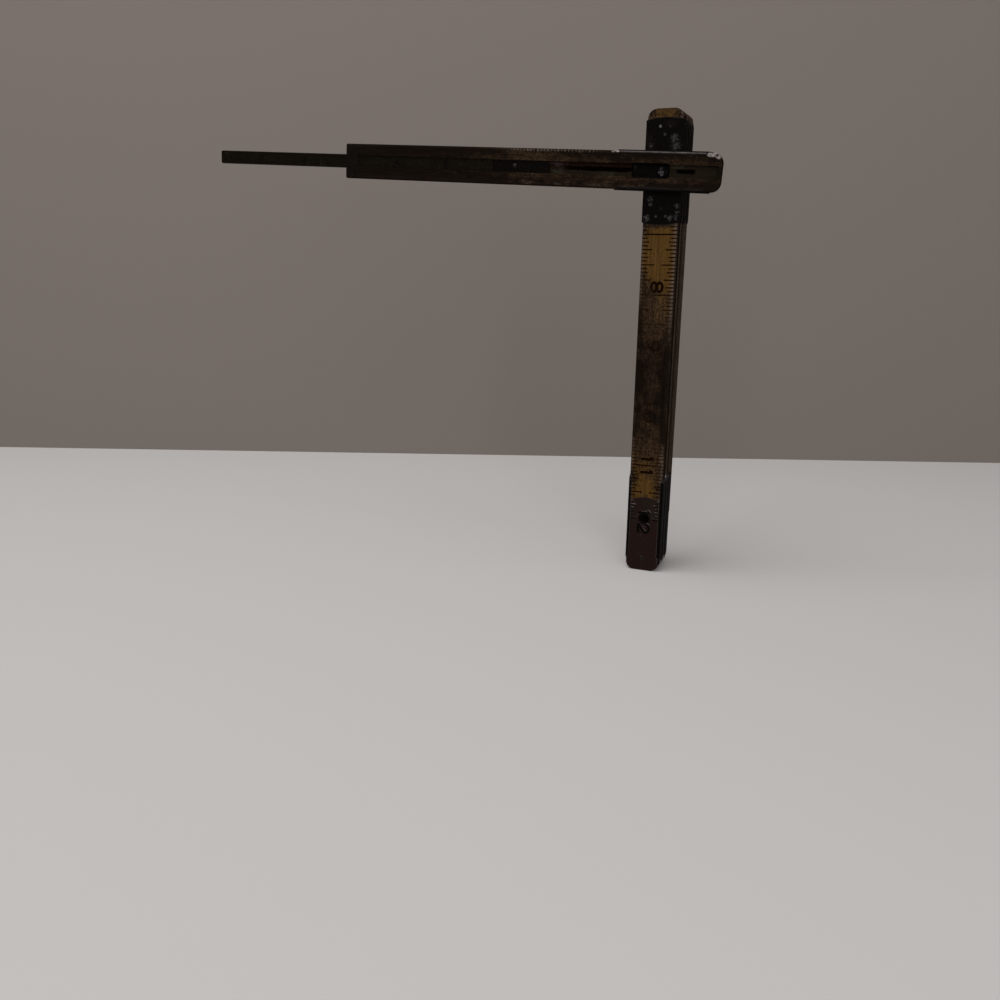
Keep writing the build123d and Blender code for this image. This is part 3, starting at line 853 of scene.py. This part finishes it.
def dark_metal(name, dark, tone, worn, wear, edge_wear, section=2, bright=(), patina=(), lip_highlight_front=None):
    """Dark, tarnished sheet metal: wear is how much of it is rubbed bright, from 0 to 1, besides
    its edges and the bright spots, which are painted highlights, on the seen joint plate laid over
    rubbed places. Patina lists other colours, each with its spots, its strength and how closed it is.
    In front of the depth given for the lip, a painted highlight runs along the front rim of the curled lip."""
    made, tree, output = new_material(name)
    where = along_the_stick(tree, section)
    cloud = stretched_noise(tree, where, 5 * mm, detail=4, roughness=0.6)
    speckle = stretched_noise(tree, where, 0.7 * mm, detail=4, roughness=0.6)
    scratch = stretched_noise(tree, where, 0.25 * mm, stretch=9, detail=2)
    colour = blend_colours(tree, fade(tree, speckle, 0.35, 0.7), dark, tone)
    amount = calculate(tree, "MULTIPLY_ADD", speckle, 0.6, cloud)
    rubbed = fade(tree, amount, 1.04 - 0.3 * wear, 1.27 - 0.3 * wear)
    lines = calculate(tree, "MULTIPLY", fade(tree, scratch, 0.62, 0.75), fade(tree, cloud, 0.45, 0.65))
    rubbed = calculate(tree, "MULTIPLY_ADD", lines, 0.5 * wear, rubbed)
    edges = fade(tree, rubbed_edges(tree, edge_radius), 0.03, 0.22)
    edges = calculate(tree, "MULTIPLY", edges, fade(tree, speckle, 0.3, 0.6, low=0.25))
    rubbed = calculate(tree, "MAXIMUM", rubbed, calculate(tree, "MULTIPLY", edges, edge_wear))
    # Bright spots: painted highlights, on the seen joint plate together with rubbed steel.
    if bright:
        spots = near_spots(tree, where, bright, 0.8 * mm, soft=0.15)
        spots = calculate(tree, "MULTIPLY", spots, highlight_spot_strength)
        rubbed = calculate(tree, "MAXIMUM", rubbed, spots)
    # A painted highlight along the front rim of the curled lip, mostly the upper one.
    if lip_highlight_front:
        place = add_node(tree, "ShaderNodeSeparateXYZ", {0: where}).outputs
        lip_highlight = calculate(tree, "MULTIPLY", fade(tree, place["Y"], lip_highlight_front, lip_highlight_front - 0.2 * mm), lip_highlight_strength)
        lip_highlight = calculate(tree, "MULTIPLY", lip_highlight, fade(tree, cloud, 0.35, 0.6, low=0.6))
        lip_highlight = calculate(tree, "MULTIPLY", lip_highlight, fade(tree, speckle, 0.3, 0.6, low=0.55))
        lip_highlight = calculate(tree, "MULTIPLY", lip_highlight, fade(tree, place["Z"], *lip_highlight_heights, low=0.06))
        rubbed = calculate(tree, "MAXIMUM", rubbed, lip_highlight)
    rubbed = calculate(tree, "MINIMUM", rubbed, 1.0)
    colour = blend_colours(tree, rubbed, colour, worn)
    for other, spots, strength, cover in patina:
        share = calculate(tree, "MULTIPLY", near_spots(tree, where, spots, 3 * mm, cover=cover), strength)
        colour = blend_colours(tree, share, colour, other)
    roughness = fade(tree, rubbed, 0, 1, low=0.6, high=0.42)
    height = calculate(tree, "ADD", speckle, scratch)
    finish_surface(tree, output, colour, roughness, height, depth=0.02 * mm, shine=0.03)
    return made


def coat_nodes(names, finish):
    """Gives CAD pieces their finish."""
    for name in names:
        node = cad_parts[name]
        node.data.materials.clear()
        node.data.materials.append(finish)


black = (0.0008, 0.0005, 0.0004)
black_tone = (0.0034, 0.0024, 0.0019)
seen_tone = (0.0024, 0.0015, 0.0011)
grey_steel = (0.058, 0.053, 0.053)
bright_steel = (0.12, 0.105, 0.10)
front_depth = -1.4
# Bright spots on the seen joint plate: rubbed grey steel, and painted highlights of glints.
plate_wear_and_glint_spots = [
    (190.2, front_depth, -4.3, 3.0), (187.4, front_depth, -4.9, 3.2), (188, front_depth, 5.6, 1.8),
    (185.5, front_depth, 6.0, 1.5), (166.4, front_depth, 4.9, 2.0), (164.2, front_depth, 4.6, 1.4),
    (158.8, front_depth, 6.2, 2.2), (163.2, front_depth, -6.6, 1.8), (161, front_depth, -6.8, 1.6),
    (158.6, front_depth, -4.2, 1.8), (159, front_depth, -6.4, 1.8),
]
brown_film = (0.0056, 0.0034, 0.0022)
brown_film_spots = [(191, front_depth, 7.5, 9), (183, front_depth, 8, 7), (197, front_depth, -1, 5)]
seen_steel = dark_metal(
    "blackened_steel_seen", black, seen_tone, grey_steel, wear=0.06, edge_wear=0.7,
    bright=plate_wear_and_glint_spots, patina=[(brown_film, brown_film_spots, 0.8, 0.5)],
)
# Painted highlights on the slanted ends of the other joint plates' flanges, on the stack's right-hand side.
flange_end_highlights = [
    (along, back, -7.9, 2.2) for along in (44.2, 45.6) for back in (-0.8, 2.1, 5.0, 7.9, 10.8)
]
black_steel = dark_metal(
    "blackened_steel", black, black_tone, grey_steel, wear=0.3, edge_wear=0.7, bright=flange_end_highlights
)
# The arm's joint plate has a painted highlight along its upper lip's front rim.
lip_highlight_depth = first_stick_front + 0.05 * mm
arm_steel = dark_metal(
    "blackened_steel_arm", black, black_tone, bright_steel, wear=0.3, edge_wear=0.3, section=1,
    lip_highlight_front=lip_highlight_depth,
)
plate_names = [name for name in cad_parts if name.startswith("joint_plate")]
coat_nodes(plate_names, black_steel)
coat_nodes(["joint_plate_1_rear"], seen_steel)
coat_nodes(["joint_plate_1_front"], arm_steel)

# Thirteen strike plates, thin sheet steel on the outer faces that takes the rubbing where folded
# sticks pass each other. Tarnished to a dark purplish brown, with the scale stamped in.
green_tarnish = (0.0122, 0.0098, 0.0074)
green_spots = [(33, front_depth, -2, 12), (27, front_depth, -6, 10), (24, front_depth, 5, 8)]
brown_tarnish = dark_metal(
    "brown_tarnish", dark=(0.0092, 0.0042, 0.0033), tone=(0.0185, 0.0092, 0.0074),
    worn=(0.13, 0.115, 0.105), wear=0.15, edge_wear=0.9,
    patina=[(green_tarnish, green_spots, 0.7, 0.5)],
)
strike_names = [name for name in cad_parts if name.startswith("strike_plate")]
coat_nodes(strike_names, brown_tarnish)

stamp_black = dark_metal(
    "stamped_line", dark=(0.0007, 0.0004, 0.0003), tone=(0.002, 0.0013, 0.001),
    worn=(0.05, 0.042, 0.04), wear=0.1, edge_wear=0.0,
)
# Painted highlight of the raised burr beside each stamped mark: a pale copy of the marks and figures,
# shifted a little along the scale and set just beneath them.
burr_highlight = dark_metal(
    "burr_highlight", dark=(0.0075, 0.0048, 0.0038), tone=(0.030, 0.024, 0.021),
    worn=(0.10, 0.09, 0.082), wear=0.95, edge_wear=0.0,
)
stamped_sixteenths = 5
one_off_hole = 3.3 * mm
two_off_hole = 4.5 * mm
one_off_rim = 4.9 * mm
others_off_rim = 6.2 * mm
# How far the painted highlight copy lies beside and beneath the stamped marks.
highlight_aside = 0.42 * mm
highlight_below = mark_height / 6
highlight_shift = Matrix.Translation((-highlight_aside, 0, -highlight_below))


def stamped_figures(value, pivot, own_eyelet):
    """Two figures astride a pivot, as meshes with their places along the scale. A 1 and a 2 run up
    to the hole on the plate that holds the eyelet, and all the others stay clear of its rim."""
    tens, units = str(value)
    before = one_off_rim if tens == "1" else others_off_rim
    after = others_off_rim + highlight_aside
    if own_eyelet and tens == "1":
        before = one_off_hole
    if own_eyelet and units == "2":
        after = two_off_hole
    return [(glyphs[tens], pivot - before), (glyphs[units], pivot + after)]


for section in range(2, section_count + 1):
    parts = []
    first_pivot = face_place(section, "back", f"strike_plate_{section - 1}_rear")
    parts.append((run_of_marks(0, stamped_sixteenths, stamped_marks, stamp_black), first_pivot))
    if section > 2:
        found = stamped_figures(inches_per_section * (section - 1), 0.0, own_eyelet=False)
        parts += [(mesh, first_pivot @ Matrix.Translation((along, 0, 0))) for mesh, along in found]
    if section < section_count:
        last_pivot = face_place(section, "front", f"strike_plate_{section}_front")
        first_mark = sixteenths_per_section - stamped_sixteenths
        marks = run_of_marks(first_mark, sixteenths_per_section, stamped_marks, stamp_black)
        parts.append((marks, last_pivot))
        found = stamped_figures(inches_per_section * section, pivot_spacing, own_eyelet=True)
        parts += [(mesh, last_pivot @ Matrix.Translation((along, 0, 0))) for mesh, along in found]
    gather(f"stamped_scale_{section}", parts, stamp_black, f"section_{section}")
    # The pale copies that paint a highlight beside each stamped mark.
    highlight_copies = [(mesh, place @ highlight_shift) for mesh, place in parts]
    gather(f"stamped_burr_highlights_{section}", highlight_copies, burr_highlight, f"section_{section}")

# Headless steel pins that hold the plates to the wood, one group for each stick. Their ends are
# rubbed a little brighter than the plates, but those of the strike plates are dull. One pin end
# carries a painted highlight, and a few are darker.
# Pin ends that are drawn darker than the rest.
dark_pin_colour = (0.0035, 0.0020, 0.0016)
darkened_pin_spots = [
    (6, front_depth, 0, 3), (196.4, 18.6, 0, 3), (162.6, front_depth, 0, 2), (195.4, front_depth, -2.7, 1.6)
]
# A painted highlight on one pin end.
pin_highlight_colour = (0.24, 0.23, 0.22)
pin_highlight_spots = [(195.4, front_depth, 2.1, 1.6)]
rubbed_pin = dark_metal(
    "rubbed_pin", dark=(0.010, 0.009, 0.0082), tone=(0.036, 0.0335, 0.0315),
    worn=(0.105, 0.099, 0.093), wear=0.8, edge_wear=0.1,
    patina=[(dark_pin_colour, darkened_pin_spots, 0.95, 2.0), (pin_highlight_colour, pin_highlight_spots, 0.25, 2.0)],
)
coat_nodes([f"plate_pins_{section}" for section in range(1, section_count + 1)], rubbed_pin)

# Pivots, of brass gone dark: a solid rivet at the first joint, whose head is dark but for two
# small painted highlights, and hollow eyelets rolled over at both ends elsewhere.
pivot_brass = dark_metal(
    "pivot_brass", dark=(0.0070, 0.0036, 0.0028), tone=(0.0150, 0.0088, 0.0068),
    worn=(0.08, 0.064, 0.054), wear=0.25, edge_wear=0.6,
)
eyelet_names = [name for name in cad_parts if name.startswith("pivot_eyelet")]
coat_nodes(eyelet_names, pivot_brass)
# Two small painted highlights on the rivet's head.
rivet_highlight_spots = [(176.8, -2.8, 0.6, 1.7), (178.2, -2.8, 0.5, 1.0)]
rivet_metal = dark_metal(
    "highlit_rivet", dark=(0.0008, 0.0006, 0.0009), tone=(0.0032, 0.0026, 0.0032),
    worn=(0.14, 0.12, 0.125), wear=0.1, edge_wear=0.1, bright=rivet_highlight_spots,
)
coat_nodes(["pivot_rivet_1"], rivet_metal)

# End caps, short sleeves of brass sheet gone dark, wrapped round the two free ends of the rule
# and let in flush with the wood.
cap_metal = dark_metal(
    "dark_cap", dark=(0.0030, 0.0017, 0.0011), tone=(0.0075, 0.0048, 0.0034),
    worn=(0.035, 0.026, 0.02), wear=0.3, edge_wear=0.6,
)
coat_nodes(["zero_end_cap", "far_end_cap"], cap_metal)

# The slide: a bevelled brass blade gone dark brown, a blackened flat spring let into its tail
# and the small rivet that holds the spring. The blade has its own fine divisions, which count
# inches from its tip, so they are read at the end of the stick.
slide_brass = dark_metal(
    "dark_brass", dark=(0.0026, 0.0015, 0.0006), tone=(0.0074, 0.0052, 0.0026),
    worn=(0.028, 0.021, 0.0125), wear=0.3, edge_wear=0.5, section=1,
)
coat_nodes(["slide_blade"], slide_brass)
spring_steel = dark_metal(
    "spring_steel", dark=(0.0010, 0.0006, 0.0003), tone=(0.0032, 0.0020, 0.0012),
    worn=(0.03, 0.027, 0.024), wear=0.25, edge_wear=0.4, section=1,
)
coat_nodes(["slide_spring"], spring_steel)
# The slide's rivet: dark, with a small painted highlight on its head.
slide_rivet_metal = dark_metal(
    "slide_rivet_metal", dark=(0.0020, 0.0016, 0.0012), tone=(0.0060, 0.0052, 0.0040),
    worn=(0.085, 0.082, 0.070), wear=0.3, edge_wear=0.2, section=1, bright=[(-66.3, -4.9, 1.3, 2.0)],
)
coat_nodes(["slide_rivet"], slide_rivet_metal)

tip_from_pivot = 225.7 * mm
last_blade_mark = 93
last_blade_inch = last_blade_mark // 16
small_figure = 0.42
blade_marks = dict(printed_marks, Edge=2.6 * mm, Flat=2.6 * mm, Sixteenth=0.9 * mm, Eighth=1.2 * mm,
                   Quarter=1.5 * mm, Half=1.9 * mm, Inch=2.1 * mm)
blade_marks["Width"] = 0.24 * mm
blade_marks["Inch Width"] = 0.3 * mm
from_tip = Matrix.Translation((pivot_spacing - tip_from_pivot, 0, 0))
blade_face = face_place(1, "front", "slide_blade") @ from_tip
parts = [(run_of_marks(1, last_blade_mark, blade_marks, stamp_black), blade_face)]
for count in range(1, last_blade_inch + 1):
    reduced = Matrix.Diagonal((small_figure, small_figure, 1, 1))
    shift = Matrix.Translation((count * inch - single_before_line * small_figure, 0, 0))
    parts.append((glyphs[str(count)], blade_face @ shift @ reduced))
gather("slide_divisions", parts, stamp_black, "slide")

bpy.context.view_layer.update()
